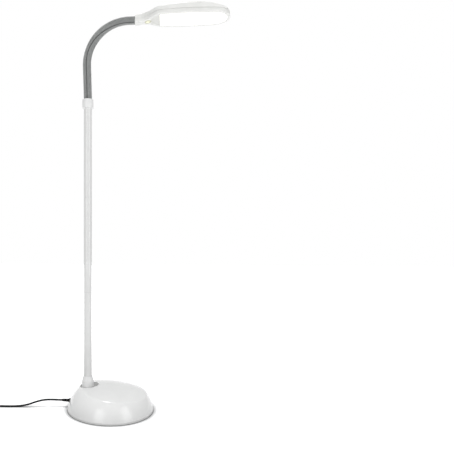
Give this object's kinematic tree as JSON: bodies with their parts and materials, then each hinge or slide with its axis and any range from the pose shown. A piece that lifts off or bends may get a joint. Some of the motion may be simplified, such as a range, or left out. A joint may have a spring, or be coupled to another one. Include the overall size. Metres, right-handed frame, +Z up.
{
  "type": "floor reading lamp",
  "caption": "White floor reading lamp: domed weighted base, tubular pole, ribbed grey gooseneck and a flat oval light head with a lit push button under its neck.",
  "frame": {"origin": "middle of the round base's underside, on the floor", "axes": "+Z up, +X from the pole towards the light head, +Y to the left when looking along +X"},
  "size_m": [0.8295, 0.3248, 1.243],
  "materials": {
    "bare_aluminium": "satin",
    "black_rubber": "matte",
    "board": "satin",
    "brass_blade": "polished",
    "dark_foam": "matte",
    "grey_iron": "matte",
    "grey_sleeve": "satin",
    "lead_white": "satin",
    "opal": "satin",
    "switch_black": "satin",
    "white_enamel": "gloss",
    "white_gloss": "gloss",
    "yellow_glow": "satin",
    "zinc_steel": "satin"
  },
  "bodies": {
    "stand": {"base_cover": "white_gloss", "base_plate": "zinc_steel", "base_screws": "zinc_steel", "base_weight": "grey_iron", "floor_pad": "dark_foam", "pole_stud": "zinc_steel", "stud_nut": "zinc_steel", "stud_washer": "zinc_steel", "lower_collar": "white_gloss", "pole_lower": "white_enamel", "pole_middle": "white_enamel", "pole_upper": "white_enamel", "pole_inserts": "bare_aluminium", "upper_collar": "white_gloss", "collar_screw": "zinc_steel", "lower_ferrule": "bare_aluminium", "strain_relief": "black_rubber", "stand_lead": "black_rubber", "neck_sleeve_0": "grey_sleeve", "neck_core_0": "zinc_steel", "cord_run": "black_rubber", "cord_coil": "black_rubber", "cord_tail": "black_rubber", "plug_body": "black_rubber", "plug_blades": "brass_blade"},
    "neck_1": {"neck_sleeve_1": "grey_sleeve", "neck_core_1": "zinc_steel", "neck_lead_1": "lead_white"},
    "neck_2": {"neck_sleeve_2": "grey_sleeve", "neck_core_2": "zinc_steel", "neck_lead_2": "lead_white"},
    "neck_3": {"neck_sleeve_3": "grey_sleeve", "neck_core_3": "zinc_steel", "neck_lead_3": "lead_white"},
    "neck_4": {"neck_sleeve_4": "grey_sleeve", "neck_core_4": "zinc_steel", "neck_lead_4": "lead_white"},
    "neck_5": {"neck_sleeve_5": "grey_sleeve", "neck_core_5": "zinc_steel", "neck_lead_5": "lead_white"},
    "head": {"neck_sleeve_6": "grey_sleeve", "neck_core_6": "zinc_steel", "upper_ferrule": "bare_aluminium", "head_lead": "lead_white", "head_top_cover": "white_gloss", "head_frame": "white_gloss", "diffuser": "opal", "switch_panel": "white_gloss", "heat_spreader": "bare_aluminium", "led_board": "board", "led_chips": "yellow_glow", "driver_board": "board", "push_switch": "switch_black", "button_ring": "yellow_glow", "neck_screws": "zinc_steel"},
    "button": {"button_cap": "yellow_glow", "switch_plunger": "switch_black"}
  },
  "joints": [
    {"name": "neck_bend_1", "type": "hinge", "parent": "stand", "child": "neck_1", "pos_m": [-0.07222, 0, 1.00632], "axis": [0, 1, 0], "range_deg": [-19, 17], "deforming": ["neck_sleeve_0", "neck_sleeve_1"]},
    {"name": "neck_sway_1", "type": "hinge", "parent": "neck_1", "child": "neck_2", "pos_m": [-0.07376, 0, 1.05809], "axis": [0.9996, 0, 0.0297], "range_deg": [-22, 22], "deforming": ["neck_sleeve_2"]},
    {"name": "neck_bend_2", "type": "hinge", "parent": "neck_2", "child": "neck_3", "pos_m": [-0.07189, 0, 1.1097], "axis": [0, 1, 0], "range_deg": [-19, 17], "deforming": ["neck_sleeve_3"]},
    {"name": "neck_bend_3", "type": "hinge", "parent": "neck_3", "child": "neck_4", "pos_m": [-0.04383, 0, 1.16833], "axis": [0, 1, 0], "range_deg": [-19, 17], "deforming": ["neck_sleeve_4"]},
    {"name": "neck_sway_2", "type": "hinge", "parent": "neck_4", "child": "neck_5", "pos_m": [-0.00379, 0, 1.20066], "axis": [0.4646, 0, -0.8855], "range_deg": [-22, 22], "deforming": ["neck_sleeve_5"]},
    {"name": "neck_bend_4", "type": "hinge", "parent": "neck_5", "child": "head", "pos_m": [0.04556, 0, 1.21523], "axis": [0, 1, 0], "range_deg": [-19, 17], "deforming": ["neck_sleeve_6"]},
    {"name": "button_push", "type": "slide", "parent": "head", "child": "button", "axis": [-0.13, 0, 0.9915], "range_m": [0, 0.0008], "stiffness_N_per_m": 400, "springref_m": -0.002}
  ],
  "couplings": [
    {"joint": "neck_bend_2", "follows": "neck_bend_1", "ratio": 1},
    {"joint": "neck_bend_3", "follows": "neck_bend_1", "ratio": 1},
    {"joint": "neck_bend_4", "follows": "neck_bend_1", "ratio": 1},
    {"joint": "neck_sway_2", "follows": "neck_sway_1", "ratio": 1}
  ]
}
